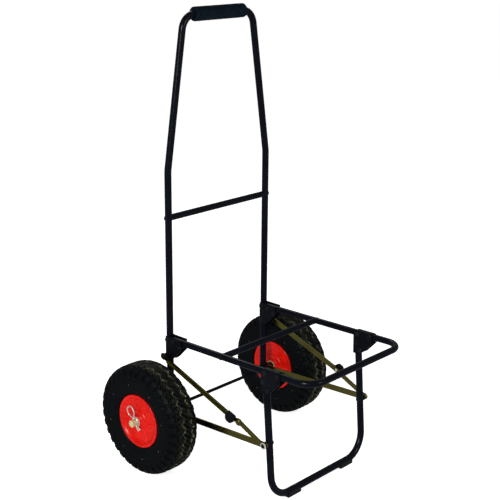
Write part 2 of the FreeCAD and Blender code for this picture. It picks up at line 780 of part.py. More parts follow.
def make_upper_link():
    """Short piece of the upper strut, from the knee to the leg."""
    body = new_body("upper_link_right", y="axle_y - knee_reach", z="knee_height", tilt="link_pitch")
    flat_bar(body, "link_x", "link_length", "link_width", "strut_sheet")
    bore(body, ("0", "0", "rivet_diameter / 2 + running_gap"), ("-link_length", "0", "pin_diameter / 2"))
    return body


def make_knee_rivet():
    """Rivet fixed in the arm, on which the link turns."""
    where = {"y": "axle_y - knee_reach", "z": "knee_height"}
    inner = "link_x - free_gap"
    outer = "arm_x + arm_sheet"
    return fuse("knee_rivet_right", rod("knee_shank", "rivet_diameter", inner, outer, **where),
                rod("knee_inner_head", "head_diameter - 1", f"{inner} - 1", inner, **where),
                head("knee_outer_head", outer, 1, **where))


def make_strut_bolt():
    """Outer end of the bolt that joins the struts to the leg: shank, washer and hexagon head."""
    where = {"y": "axle_y - brace_reach", "z": "brace_height"}
    face = "link_x + strut_sheet"
    hexagon = doc.addObject("Part::Prism", "strut_bolt_hexagon")
    hexagon.Polygon = 6
    hexagon.setExpression("Circumradius", bind("0.8 * pin_diameter"))
    hexagon.setExpression("Height", bind("0.6 * pin_diameter"))
    hexagon.Placement = Placement(Vector(), Rotation(Vector(0, 1, 0), 90))
    place(hexagon, f"{face} + 1.4", **where)
    return fuse("strut_bolt_right", rod("strut_bolt_shank", "pin_diameter", "link_x", face, **where),
                rod("strut_bolt_washer", "2 * pin_diameter", face, f"{face} + 1.4", **where), hexagon)


def make_catch(label, flat_up, lift):
    """D-shaped moulded catch beside the arm, its flat side up or down."""
    body = new_body(label, y="axle_y", z="anchor_height", tilt="arm_pitch")
    plan = new_sketch(body, "YZ_Plane", "catch_x")
    centre = "-(arm_run - catch_place)"
    flat = f"{flat_up} * 0.44 * catch_size + {lift}"
    crown = f"-{flat_up} * 0.5 * catch_size + {lift}"
    rear = f"({centre} + 0.46 * catch_size)"
    front = f"({centre} - 0.54 * catch_size)"
    rounded_line(plan, [(rear, flat, "2"), (front, flat, "2"), (front, crown, "0.42 * catch_size"),
                        (rear, crown, "0.42 * catch_size")])
    pad(body, plan, "catch_depth")
    bore(body, (centre, "0", "catch_pin / 2 + running_gap"))
    return body


def make_catch_pin():
    """Pin riveted flush in the arm, with a small head outside the catch."""
    place_along = "(arm_run - catch_place)"
    where = {"y": f"axle_y - {place_along} * cos(arm_pitch)",
             "z": f"anchor_height + {place_along} * sin(arm_pitch)"}
    end = "catch_x + catch_depth + free_gap"
    return fuse("catch_pin_right", rod("catch_pin_shank", "catch_pin", "arm_x", end, **where),
                rod("catch_pin_head", "2 * catch_pin", end, f"{end} + 1.2", **where))


# ---- wheels: outlines are half width and radius from the wheel's centre ----

def wheel_body(label):
    return new_body(label, "half_track", "axle_y", "wheel_radius")


def both_flanks(flank):
    """Close a symmetric outline from the points of its +X flank, taken from the rim to the tread."""
    other = [("-" + x, radius, bend) for x, radius, bend in reversed(flank)]
    return flank + other


def make_tyre():
    """Pneumatic tyre with its beads between the rim's lips."""
    half = "(tyre_width / 2)"
    inner = f"({half} - tyre_wall)"
    outside = [("(lip_x - 10)", "seat_radius", None), ("(lip_x - 3.7)", "seat_radius", "1.6"),
               ("(lip_x - 3.7)", "(rim_radius + 0.4)", None),
               (f"{half} * 0.93", "(rim_radius + 3)", "3"),
               (half, "(rim_radius + 0.34 * section)", "14"),
               (half, "(rim_radius + 0.58 * section)", "16"),
               (f"{half} * 0.87", "(rim_radius + 0.86 * section)", "14"),
               (f"{half} * 0.45", "wheel_radius", "24")]
    inside = [(f"{inner} * 0.62", "(wheel_radius - 1.6 * tyre_wall)", "8"),
              (inner, "(rim_radius + 0.62 * section)", "12"), (inner, "(rim_radius + 0.3 * section)", "12")]
    left_out = [("-" + x, radius, bend) for x, radius, bend in reversed(outside)]
    left_in = [("-" + x, radius, bend) for x, radius, bend in reversed(inside)]
    return revolve(wheel_body("tyre_right"), outside + left_out + left_in + inside)


def make_inner_tube():
    """Thin rubber ring inside the tyre, seated on the rim."""
    body = wheel_body("inner_tube_right")
    ring = new_sketch(body, "XZ_Plane")
    for inset in ("0.4", "2"):
        flank = [(f"(lip_x - 10.5 - {inset})", f"(seat_radius + {inset})", "3"),
                 (f"(tyre_width / 2 - tyre_wall - 1 - {inset})", f"(rim_radius + 0.36 * section)", "10"),
                 (f"(tyre_width / 2 - tyre_wall - 1 - {inset})", f"(rim_radius + 0.56 * section)", "10"),
                 (f"(0.5 * (tyre_width / 2 - tyre_wall) - {inset})",
                  f"(wheel_radius - 1.6 * tyre_wall - 1 - {inset})", "6")]
        rounded_line(ring, both_flanks(flank))
    feature = body.newObject("PartDesign::Revolution", "inner_tube_turned")
    feature.Profile = ring
    feature.ReferenceAxis = (ring, ["H_Axis"])
    feature.Angle = 360
    doc.recompute()
    return body


def make_rim_half(label, side):
    """Moulded half rim: hub, dished disc, barrel and lip. Side is "" outside, "-" inside."""
    half_hub = "(hub_length / 2)"
    bore_radius = "bush_diameter / 2"
    hub = "(hub_diameter / 2)"
    flat = "(hub_diameter / 2 + 7)"
    points = [("0", bore_radius, None), (half_hub, bore_radius, None), (half_hub, hub, "1.5"),
              ("(lip_x - 1)", hub, "2"), ("(lip_x - 1)", flat, "3"),
              ("(lip_x - 8)", "(seat_radius - 8)", "6"), ("(lip_x - 4.5)", "(seat_radius - 1)", "2"),
              ("(lip_x - 1)", "(seat_radius + 2)", "2"), ("lip_x", "(rim_radius - 2.5)", "2"),
              ("(lip_x - 1)", "rim_radius", "0.8"), ("(lip_x - 3.4)", "rim_radius", "0.8"),
              ("(lip_x - 3.4)", "seat_radius", "1.5"), ("0", "seat_radius", None),
              ("0", "(seat_radius - rim_wall)", None),
              ("(lip_x - 11)", "(seat_radius - rim_wall)", "2"),
              ("(lip_x - 8 - rim_wall)", "(seat_radius - 10)", "3"),
              ("(lip_x - 1 - rim_wall)", flat, "2"), ("(lip_x - 1 - rim_wall)", hub, "1"), ("0", hub, None)]
    return revolve(wheel_body(label), [(x if x == "0" else side + x, y, r) for x, y, r in points])


def make_valve():
    """Valve stem, from the tyre out through the inner half of the rim, with its cap."""
    def length_of_stem(name, diameter, start, length):
        solid = doc.addObject("Part::Cylinder", name)
        solid.setExpression("Radius", bind(f"{diameter} / 2"))
        solid.setExpression("Height", bind(length))
        solid.Placement = Placement(Vector(), Rotation(Vector(0, 1, 0), value("valve_lean - 90")))
        solid.setExpression("Placement.Rotation.Angle", bind("valve_lean - 90"))
        return place(solid, f"half_track - 6 - {start} * cos(valve_lean)", "axle_y",
                     f"wheel_radius - seat_radius + rim_wall + {start} * sin(valve_lean)")
    stem = length_of_stem("valve_stem", "valve_diameter", "0", "valve_length")
    cap = length_of_stem("valve_cap", "(valve_diameter + 1.5)", "(valve_length - 1)", "valve_diameter")
    return stem, fuse("valve", stem, cap)


def make_hub_bushes():
    """Two plain bushes pressed into the hub, which turn on the axle."""
    running = "axle_diameter + 2 * running_gap"
    return fuse("hub_bushes",
                rod("bush_outer", "bush_diameter", "hub_outer - 16", "hub_outer", **AXLE, hole=running),
                rod("bush_inner", "bush_diameter", "hub_inner", "hub_inner + 16", **AXLE, hole=running))


# ---- the whole cart ----

def make_whole_pieces():
    """Pieces that span the cart, and groups of like fasteners."""
    return [
        make_handle_frame(), make_handle_crossbar(), make_crossbar_screws(), make_handle_grip(),
        make_tie_rod(), make_axle_spacers(), make_hub_washers(),
        make_rear_bracket_rivets(), make_platform_pivot_pins(), make_platform_stop_pins(),
        make_strut_anchor_bolts(), make_platform_frame(), make_platform_crossbar(),
        make_platform_crossbar_rivets(), make_front_bracket_rivets(), make_leg_pivot_pins(),
        make_leg_stop_pins(), make_leg_frame(), make_leg_strut_studs(),
    ]


def make_side_pieces():
    """Pieces made on the right side, each with a mirror image on the left."""
    stem, valve = make_valve()
    rim_inner = subtract("rim_inner", make_rim_half("rim_inner_blank", "-"), stem)
    return {
        "axle_collar": make_axle_collar(), "axle": make_axle(), "r_clip": make_clip(),
        "rear_bracket": make_rear_bracket(), "front_bracket": make_front_bracket(), "foot": make_foot(),
        "lower_strut": make_lower_strut(), "upper_arm": make_upper_arm(),
        "upper_link": make_upper_link(), "knee_rivet": make_knee_rivet(),
        "strut_bolt": make_strut_bolt(), "catch_pin": make_catch_pin(),
        "tyre": make_tyre(), "inner_tube": make_inner_tube(),
        "rim_outer": make_rim_half("rim_outer_right", ""), "rim_inner": rim_inner,
        "hub_bushes": make_hub_bushes(), "valve": valve,
    }


def check_and_export(pieces):
    """Stop on any failed object or bad shape, then write one STEP file for each piece."""
    for item in doc.Objects:
        if {"Invalid", "Error"} & set(item.State):
            raise RuntimeError(f"{item.Label} failed: {item.State}")
    for piece in pieces:
        if piece.Shape.isNull() or not piece.Shape.isValid() or not piece.Shape.Solids:
            raise RuntimeError(f"{piece.Label} has no valid solid")
    os.makedirs("parts", exist_ok=True)
    for piece in pieces:
        piece.Shape.exportStep(f"parts/{piece.Label}.step")
        print(f"{piece.Label}: {len(piece.Shape.Solids)} solid, {piece.Shape.Volume / 1000:.2f} cm3")


def main():
    pieces = make_whole_pieces()
    for name, right in make_side_pieces().items():
        right.Label = name + "_right"
        pieces += [right, mirrored(name + "_left", right)]
    # the left catch is the same moulding as the right one, turned over
    pieces.append(make_catch("catch_right", "-1", "0"))
    pieces.append(mirrored("catch_left", make_catch("catch_left_blank", "1", "0.14 * catch_size")))
    doc.recompute()
    check_and_export(pieces)


main()
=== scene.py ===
import json
from math import cos, pi, radians, sin

import bpy
import numpy as np
from mathutils import Matrix, Vector


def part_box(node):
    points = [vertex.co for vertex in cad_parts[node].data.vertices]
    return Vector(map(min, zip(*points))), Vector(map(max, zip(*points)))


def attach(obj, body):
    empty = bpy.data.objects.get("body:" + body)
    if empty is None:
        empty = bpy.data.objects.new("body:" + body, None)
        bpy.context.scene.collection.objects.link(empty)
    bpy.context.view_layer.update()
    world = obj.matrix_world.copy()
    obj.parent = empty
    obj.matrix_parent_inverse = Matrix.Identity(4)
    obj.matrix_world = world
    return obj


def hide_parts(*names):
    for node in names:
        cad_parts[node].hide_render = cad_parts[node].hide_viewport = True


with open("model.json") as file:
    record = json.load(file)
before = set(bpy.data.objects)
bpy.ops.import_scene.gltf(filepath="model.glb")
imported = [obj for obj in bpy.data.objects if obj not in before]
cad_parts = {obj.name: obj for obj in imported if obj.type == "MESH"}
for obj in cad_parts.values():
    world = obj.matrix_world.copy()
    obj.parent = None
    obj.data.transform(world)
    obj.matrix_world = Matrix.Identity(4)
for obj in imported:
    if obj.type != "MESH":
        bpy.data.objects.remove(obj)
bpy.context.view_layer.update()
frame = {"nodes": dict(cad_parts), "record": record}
nodes = frame["nodes"]
sides = (("left", -1), ("right", 1))
print("frame loaded:", len(nodes), "parts")

# What a maker would change, in metres and degrees unless the name says otherwise.
camera = {"azimuth": -47.33, "elevation": 16.78, "roll": 0.48, "lens": 80.1,
          "place": (-1.7908, -1.6012, 1.2356)}
studio = {"floorColour": "f7f7f6", "skyColour": "ffffff", "skyStrength": 0.22, "floorGlow": 0.86,
          "floorReach": 60, "floorDrop": 0.0004, "wallReach": 24, "wallHeight": 40}


# An sRGB hex colour as linear light: each channel is a straight line near black and a power of 2.4 above it.
def linear(hexColour, alpha=1.0):
    channels = [int(hexColour[i:i + 2], 16) / 255 for i in (0, 2, 4)]
    return (*(c / 12.92 if c <= 0.04045 else ((c + 0.055) / 1.055) ** 2.4 for c in channels), alpha)


# Adds a node. Links maps a socket to a number, a colour or another node's output.
# Settings are the node's own options.
def addNode(tree, kind, links=None, **settings):
    made = tree.nodes.new(kind)
    for name, setting in settings.items():
        setattr(made, name, setting)
    for socket, source in (links or {}).items():
        if isinstance(source, bpy.types.NodeSocket):
            tree.links.new(source, made.inputs[socket])
        else:
            made.inputs[socket].default_value = source
    return made


# A new material with its shader set, ready for its pattern.
# Returns the material, its tree, its shader and the object's own coordinates.
def startMaterial(name, **sockets):
    material = bpy.data.materials.new(name)
    material.use_nodes = True
    tree = material.node_tree
    shader = tree.nodes["Principled BSDF"]
    for socket, setting in sockets.items():
        shader.inputs[socket.replace("_", " ")].default_value = setting
    place = addNode(tree, "ShaderNodeTexCoord").outputs["Object"]
    return material, tree, shader, place


# Mixes hex colours by a 0-1 pattern, each colour at its own place along the pattern.
def colourRamp(tree, pattern, stops):
    ramp = addNode(tree, "ShaderNodeValToRGB", {"Fac": pattern})
    while len(ramp.color_ramp.elements) < len(stops):
        ramp.color_ramp.elements.new(0.5)
    for element, (at, hexColour) in zip(ramp.color_ramp.elements, stops):
        element.position = at
        element.color = linear(hexColour)
    return ramp.outputs["Color"]


# Noise whose lumps are about the given size across, in millimetres.
def lumps(tree, place, size, detail=3.0):
    links = {"Vector": place, "Scale": 1000 / size, "Detail": detail}
    return addNode(tree, "ShaderNodeTexNoise", links).outputs[0]


# Changes a 0-1 pattern to run between two numbers.
def spread(tree, pattern, low, high, start=0.3, end=0.7):
    return addNode(tree, "ShaderNodeMapRange", {"Value": pattern, "From Min": start, "From Max": end,
                                                "To Min": low, "To Max": high}).outputs["Result"]


# Turns a pattern into small hills of the given height in millimetres.
def bumps(tree, shader, pattern, height, strength=1.0):
    links = {"Height": pattern, "Distance": height / 1000, "Strength": strength}
    bump = addNode(tree, "ShaderNodeBump", links)
    tree.links.new(bump.outputs["Normal"], shader.inputs["Normal"])


# Powder-coated steel: a smooth thick coat, with a very slight orange peel along each highlight.
def powderCoat(name, shades, roughness, peel):
    material, tree, shader, place = startMaterial(name, IOR=1.45, Specular_IOR_Level=0.13)
    tone = lumps(tree, place, 60)
    tree.links.new(colourRamp(tree, tone, shades), shader.inputs["Base Color"])
    gloss = spread(tree, lumps(tree, place, 14), roughness - 0.05, roughness + 0.07)
    tree.links.new(gloss, shader.inputs["Roughness"])
    bumps(tree, shader, lumps(tree, place, 5, 0.0), peel)
    return material


# Zinc plate on steel: metal whose passivated film drifts in colour over a few centimetres, with a fine grain.
# A metallic share below 1 lets the film's own colour show where nothing bright is reflected.
def zincPlate(name, shades, roughness, cloud, metallic=1.0):
    material, tree, shader, place = startMaterial(name, Metallic=metallic)
    film = lumps(tree, place, cloud, 4.0)
    tree.links.new(colourRamp(tree, film, shades), shader.inputs["Base Color"])
    tree.links.new(spread(tree, lumps(tree, place, 6, 5.0), roughness - 0.08, roughness + 0.1),
                   shader.inputs["Roughness"])
    bumps(tree, shader, lumps(tree, place, 1.2, 2.0), 0.01)
    return material


# Moulded plastic: even colour with faint flow clouds and a fine mould texture.
def mouldedPlastic(name, shades, roughness, grain, sheen=0.3):
    material, tree, shader, place = startMaterial(name, IOR=1.49, Specular_IOR_Level=sheen)
    tree.links.new(colourRamp(tree, lumps(tree, place, 30), shades), shader.inputs["Base Color"])
    gloss = spread(tree, lumps(tree, place, 9), roughness - 0.04, roughness + 0.06)
    tree.links.new(gloss, shader.inputs["Roughness"])
    bumps(tree, shader, lumps(tree, place, grain, 2.0), 0.006)
    return material


# Moulded rubber: near black and dull, a little uneven in shade and gloss.
def mouldedRubber(name, shades, roughness, grain):
    material, tree, shader, place = startMaterial(name, IOR=1.52, Specular_IOR_Level=0.2)
    tree.links.new(colourRamp(tree, lumps(tree, place, 18, 5.0), shades), shader.inputs["Base Color"])
    tree.links.new(spread(tree, lumps(tree, place, 7, 4.0), roughness - 0.08, roughness + 0.1),
                   shader.inputs["Roughness"])
    bumps(tree, shader, lumps(tree, place, grain, 3.0), 0.12)
    return material


# Tyre tread rubber: the lug tops are scuffed to an olive grey, the groove edges and walls get the same olive
# grey as a painted highlight, and the sidewall stays black.
def treadRubber():
    material, tree, shader, place = startMaterial("vulcanisedTread", IOR=1.52, Specular_IOR_Level=0.08)
    # This attribute mixes real scuff on the lug tops with a painted highlight along the groove edges and
    # walls.
    scuffAndHighlight = addNode(tree, "ShaderNodeAttribute", attribute_name="scuffAndHighlight").outputs["Fac"]
    patches = spread(tree, lumps(tree, place, 12, 4.0), 0.45, 1.0)
    patchy = addNode(tree, "ShaderNodeMath", {0: scuffAndHighlight, 1: patches}, operation="MULTIPLY").outputs[0]
    shades = ((0.0, "04070a"), (0.3, "0b0e0d"), (0.6, "2a2b21"), (1.0, "77745a"))
    tree.links.new(colourRamp(tree, patchy, shades), shader.inputs["Base Color"])
    tree.links.new(spread(tree, lumps(tree, place, 8, 4.0), 0.42, 0.62), shader.inputs["Roughness"])
    bumps(tree, shader, lumps(tree, place, 1.5, 3.0), 0.15)
    return material


# Closed-cell foam: matt, with cut cells about a millimetre and a half across at its skin.
def cellFoam():
    material, tree, shader, place = startMaterial("closedCellFoam", IOR=1.4, Specular_IOR_Level=0.06)
    cells = addNode(tree, "ShaderNodeTexVoronoi", {"Vector": place, "Scale": 1000 / 1.6}).outputs["Distance"]
    tree.links.new(colourRamp(tree, lumps(tree, place, 10, 6.0), ((0.3, "060d14"), (0.7, "0b151e"))),
                   shader.inputs["Base Color"])
    shader.inputs["Roughness"].default_value = 0.85
    bumps(tree, shader, cells, 0.35, 0.7)
    return material


finishes = {
    "frame_paint": powderCoat("glossPowderCoat", ((0.35, "05070d"), (0.65, "090c15")), 0.22, 0.004),
    "bracket_paint": powderCoat("satinPowderCoat", ((0.35, "05070b"), (0.65, "0a0c12")), 0.32, 0.006),
    "dark_rivet": powderCoat("paintedRivet", ((0.35, "0a0c10"), (0.65, "121519")), 0.24, 0.01),
    "yellow_zinc": zincPlate("yellowPassivatedZinc",
                             ((0.25, "7b7738"), (0.5, "8f8a49"), (0.75, "a19b5a")), 0.22, 70),
    "bright_zinc": zincPlate("clearPassivatedZinc", ((0.3, "c4c1b8"), (0.7, "e2dfd6")), 0.25, 20, 0.6),
    "axle_zinc": zincPlate("paleYellowZinc", ((0.3, "cfc48c"), (0.7, "e6dfb4")), 0.36, 12, 0.5),
    "tyre_rubber": treadRubber(),
    "tube_rubber": mouldedRubber("butylRubber", ((0.3, "0c0d0d"), (0.7, "151616")), 0.5, 2.0),
    "rim_plastic": mouldedPlastic("redPolypropylene", ((0.3, "bc0800"), (0.7, "d41203")), 0.26, 1.5, 0.22),
    "bush_plastic": mouldedPlastic("naturalNylon", ((0.3, "cfc8b0"), (0.7, "ded9c6")), 0.45, 1.5),
    "catch_plastic": mouldedPlastic("blackNylon", ((0.3, "06080a"), (0.7, "0c0e11")), 0.4, 1.2, 0.15),
    "foot_rubber": mouldedRubber("mouldedFootRubber", ((0.3, "0b0c0d"), (0.7, "131415")), 0.55, 1.5),
    "grip_foam": cellFoam(),
}
for entry in frame["record"]["subparts"]:
    cadMesh = nodes[entry["node"]].data
    cadMesh.materials.clear()
    cadMesh.materials.append(finishes[entry["material_slot"]])
print("finishes made:", len(finishes))


# Rounds a line of points. Each pass puts two points on every run, a quarter and three quarters along it,
# and keeps the two ends.
def roundedLine(points, passes=3, closed=False):
    line = np.asarray(points, float)
    for _ in range(passes):
        following = np.roll(line, -1, axis=0) if closed else line[1:]
        here = line if closed else line[:-1]
        cut = np.stack([0.75 * here + 0.25 * following, 0.25 * here + 0.75 * following], axis=1)
        cut = cut.reshape(-1, line.shape[1])
        line = cut if closed else np.concatenate([line[:1], cut, line[-1:]])
    return line


# Points spaced along a line at the given distances from its start.
def alongLine(line, distances):
    run = np.concatenate([[0], np.cumsum(np.linalg.norm(np.diff(line, axis=0), axis=1))])
    return np.stack([np.interp(distances, run, line[:, i]) for i in range(line.shape[1])], axis=1)


# The sum of the straight runs of a line.
def lineLength(line):
    return np.linalg.norm(np.diff(line, axis=0), axis=1).sum()


# Turns a profile of (x, radius) about the X axis.
# Y and z are the radius times the sine and the cosine of each angle.
def turned(profile, around):
    angle = np.arange(around) * 2 * pi / around
    x = np.repeat(profile[:, :1], around, axis=1)
    return np.stack([x, profile[:, 1:] * np.sin(angle), profile[:, 1:] * np.cos(angle)], axis=-1)


# Numbers the corners of one grid's faces. Columns always join round.
# Rows join round when closed, and otherwise get flat ends.
# The order is turned over when the volume that the faces enclose comes out negative.
def gridFaces(points, closed):
    rows, columns = points.shape[:2]
    index = np.arange(rows * columns).reshape(rows, columns)
    index = np.concatenate([index, index[:, :1]], axis=1)
    if closed:
        index = np.concatenate([index, index[:1]], axis=0)
    quads = np.stack([index[:-1, :-1], index[1:, :-1], index[1:, 1:], index[:-1, 1:]], axis=-1).reshape(-1, 4)
    flat = points.reshape(-1, 3)
    corners = flat[quads]
    across = np.cross(corners[:, 2] - corners[:, 0], corners[:, 3] - corners[:, 1])
    volume = ((corners.mean(axis=1) - flat.mean(axis=0)) * across).sum()
    faces = quads.tolist()
    if not closed:
        faces += [index[0, :-1][::-1].tolist(), index[-1, :-1].tolist()]
    return [face[::-1] for face in faces] if volume < 0 else faces


# Makes one piece from one or more grids of points, and sets what it rides on and its finish.
def gridPiece(name, grids, body, slot, closed=False, sharp=40, scuffAndHighlight=None, finish=None):
    grids = grids if isinstance(grids, list) else [grids]
    faces = []
    count = 0
    for points in grids:
        faces += [[corner + count for corner in face] for face in gridFaces(points, closed)]
        count += points.shape[0] * points.shape[1]
    mesh = bpy.data.meshes.new(name)
    mesh.from_pydata(np.concatenate([points.reshape(-1, 3) for points in grids]), [], faces)
    if scuffAndHighlight is not None:
        scuffAndHighlightLayer = mesh.attributes.new("scuffAndHighlight", "FLOAT", "POINT")
        scuffAndHighlightLayer.data.foreach_set("value", scuffAndHighlight.ravel().astype(np.float32))
    mesh.shade_smooth()
    mesh.set_sharp_from_angle(angle=radians(sharp))
    mesh.materials.append(finish or finishes[slot])
    piece = bpy.data.objects.new(name, mesh)
    bpy.context.scene.collection.objects.link(piece)
    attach(piece, body)
    return piece


wheel = {"centre": (0.230, 0.149213, 0.130), "radius": 0.130, "lugs": 34, "around": 714,
         "lugDepth": 0.0055, "zigzagAt": 0.0125, "zigzagSwing": 0.0045, "grooveHalf": 0.0021,
         "shoulderFrom": 0.031, "shoulderTo": 0.054, "notchHalf": 0.0045, "ridgeAt": 0.063}


# 1 inside a band of the given half width about zero, falling smoothly to 0 over the edge.
def band(distance, halfWidth, edge=0.0009):
    return np.clip((halfWidth + edge - np.abs(distance)) / edge, 0, 1)


# A tyre: a rounded section turned about its axle. Its surface sinks by the lug depth wherever a groove runs.
# The grooves are two zigzags round the tread, slanted cuts between them, and a notch between every two lugs
# over each shoulder.
def makeTyre(side, sign):
    size = wheel
    mm = 0.001
    flank = np.array([[0, 130], [12, 130], [24, 129.2], [32.5, 125.2], [38.2, 117.6], [41, 106], [41, 90],
                      [39.8, 76], [36, 65], [31.5, 62.5], [30.6, 56.5]]) * mm
    flank = roundedLine(flank, 4)
    length = lineLength(flank)
    reach = np.concatenate([np.arange(0, 0.056, 0.00125), np.linspace(0.0575, length, 24)])
    half = alongLine(flank, reach)
    section = np.concatenate([half[::-1] * (-1, 1), half[1:]])
    across = np.concatenate([-reach[::-1], reach[1:]])
    slope = np.gradient(section, axis=0)
    normal = np.stack([-slope[:, 1], slope[:, 0]], axis=1)
    normal /= np.linalg.norm(normal, axis=1)[:, None]
    normal *= np.sign((normal * (section - (0, 0.1))).sum(axis=1))[:, None]
    turn = np.arange(size["around"]) / size["around"] * size["lugs"]
    phase, reachGrid = np.meshgrid(turn, across)
    pitch = 2 * pi * size["radius"] / size["lugs"]
    swing = np.abs((phase % 1) * 2 - 1) * 2 - 1
    away = np.abs(reachGrid)
    toZigzag = away - size["zigzagAt"] - size["zigzagSwing"] * swing * np.sign(reachGrid)
    zigzag = band(toZigzag, size["grooveHalf"])
    # A band just past each zigzag groove's edge, later painted olive grey as a painted highlight on the
    # groove wall.
    zigzagEdgeHighlight = band(np.abs(toZigzag) - size["grooveHalf"] - 0.0008, 0.0008)
    slant = ((phase + 0.5 + reachGrid / 0.028) % 1 - 0.5) * pitch
    centreCut = band((slant / pitch * 2 % 1 - 0.5) * pitch / 2, 0.0009) * band(away, size["zigzagAt"] - 0.001)
    halfTurn = (phase - 0.25 * np.sign(reachGrid)) % 1
    sideCut = band((halfTurn - 0.5) * pitch + (away - 0.022) * 0.35, 0.0014) \
        * band(away - 0.5 * (size["zigzagAt"] + size["shoulderFrom"]), 0.0095)
    sipe = 0.45 * band(((halfTurn + 0.5) % 1 - 0.5) * pitch - (away - 0.022) * 0.35, 0.0006, 0.0007) \
        * band(away - 0.021, 0.006)
    secondZigzag = band(away - size["shoulderFrom"] + 0.004 + 0.0025 * swing, 0.0013) * 0.8
    notch = band(((halfTurn + 0.5) % 1 - 0.5) * pitch, size["notchHalf"]) \
        * np.clip((away - size["shoulderFrom"]) / 0.002, 0, 1) \
        * np.clip((size["shoulderTo"] - away) / 0.003, 0, 1)
    sunk = np.maximum.reduce([zigzag, centreCut * 0.8, sideCut, sipe, secondZigzag, notch])
    lugEnd = 0.35 * np.clip((away - size["shoulderTo"]) / 0.0015, 0, 1) \
        * np.clip((0.105 - away) / 0.004, 0, 1)
    ridge = -0.25 * band(away - size["ridgeAt"], 0.0011) - 0.2 * band(away - size["ridgeAt"] - 0.02, 0.0008)
    depth = size["lugDepth"] * (sunk + lugEnd + ridge)
    surface = turned(section, size["around"])
    angle = turn / size["lugs"] * 2 * pi
    outward = np.stack([np.repeat(normal[:, :1], size["around"], axis=1), normal[:, 1:] * np.sin(angle),
                        normal[:, 1:] * np.cos(angle)], axis=-1)
    surface -= outward * depth[..., None]
    # Rise marks the steep groove walls, which are painted olive grey as a painted highlight.
    rise = np.clip(np.hypot(*np.gradient(sunk)) * 1.6, 0, 1) * (away < size["shoulderTo"] + 0.001)
    crown = np.clip((0.04 - away) / 0.01, 0, 1)
    # Olive on the crown's lug tops is scuff. Olive along the zigzag edges and on the groove walls is a
    # painted highlight.
    scuffAndHighlight = np.maximum.reduce([zigzagEdgeHighlight, 0.45 * rise, 0.4 * (1 - sunk) * crown])
    centre = np.array(size["centre"]) * (sign, 1, 1)
    piece = gridPiece("luggedTyre_" + side, surface + centre, "wheel_" + side, "tyre_rubber", closed=True,
                      sharp=60, scuffAndHighlight=np.clip(scuffAndHighlight, 0, 1))
    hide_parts("tyre_" + side)


for side, sign in sides:
    makeTyre(side, sign)
print("tyres made")

rim = {"around": 192, "webs": 8, "webHeight": 0.0016, "webInner": 0.028, "webOuter": 0.048}


# A moulded half rim: its outline is rounded and turned about the axle.
# Shallow webs ripple the dish with a cosine.
def makeRimHalf(side, sign, half, outward):
    profile = np.array([[38.7, 12.4], [38.7, 12.8], [38.7, 14], [38.2, 14.6], [35, 16.6], [33.7, 18.5],
                        [33.4, 25.2], [33.0, 26.4], [31.4, 27.6], [30.4, 29.5], [27.6, 42], [27.0, 46.5],
                        [28.2, 50.2], [31.4, 54.2], [33.8, 56.4], [34.5, 58.5], [34.5, 61.4], [33.6, 62.8],
                        [32.2, 63], [31.2, 62.4], [31.1, 60], [31.1, 55], [30, 54], [0.2, 54], [0.2, 50.5],
                        [22, 50.5], [23, 46], [26.4, 30], [29.5, 25], [29.5, 17.4], [28.5, 17], [0.2, 17],
                        [0.2, 12.4]]) * 0.001
    profile = roundedLine(profile, 2, closed=True)
    surface = turned(profile, rim["around"])
    angle = np.arange(rim["around"]) * 2 * pi / rim["around"]
    radius = np.repeat(profile[:, 1:], rim["around"], axis=1)
    onDish = np.clip((radius - rim["webInner"]) / 0.004, 0, 1) \
        * np.clip((rim["webOuter"] - radius) / 0.004, 0, 1)
    ripple = np.clip(np.cos(angle * rim["webs"]) - 0.72, 0, 1) / 0.28
    surface[..., 0] += rim["webHeight"] * onDish * ripple
    surface[..., 0] *= outward * sign
    centre = np.array(wheel["centre"]) * (sign, 1, 1)
    piece = gridPiece("rim_" + half + "_piece_" + side, surface + centre, "wheel_" + side, "rim_plastic",
                      closed=True, sharp=50)
    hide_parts("rim_" + half + "_" + side)


for side, sign in sides:
    makeRimHalf(side, sign, "outer", 1)
    makeRimHalf(side, sign, "inner", -1)
print("rims made")

grip = {"endRound": 0.0055, "bore": 0.0081, "waves": 0.0002, "around": 96}


# The foam grip: a rounded tube about the handle's top bar, with a slight slow waviness from being pushed on.
def makeGrip():
    low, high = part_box("handle_grip")
    middle = (low + high) / 2
    half = (high.x - low.x) / 2
    radius = (high.z - low.z) / 2
    outline = roundedLine([[half, grip["bore"]], [half, radius - grip["endRound"]], [half, radius],
                           [half - grip["endRound"], radius], [half - 2 * grip["endRound"], radius]], 4)
    flat = np.linspace(half - 0.013, -half + 0.013, 60)
    body = np.stack([flat, np.full(60, radius)], axis=1)
    profile = np.concatenate([outline, body, outline[::-1] * (-1, 1)])
    surface = turned(profile, grip["around"])
    angle = np.arange(grip["around"]) * 2 * pi / grip["around"]
    swell = np.sin(surface[..., 0] * 210 + 2 * np.sin(angle)) * np.cos(angle * 2 + 1)
    wave = 1 - grip["waves"] / radius * (1 + swell)
    surface[..., 1:] *= wave[..., None]
    piece = gridPiece("foamGrip", surface + np.array(middle), "handle", "grip_foam", closed=True, sharp=60)
    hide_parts("handle_grip")


makeGrip()
print("grip made")


nubs = {"count": 8, "radius": 0.0009, "rise": 0.35, "at": 0.088, "standOut": 0.0407, "around": 10}


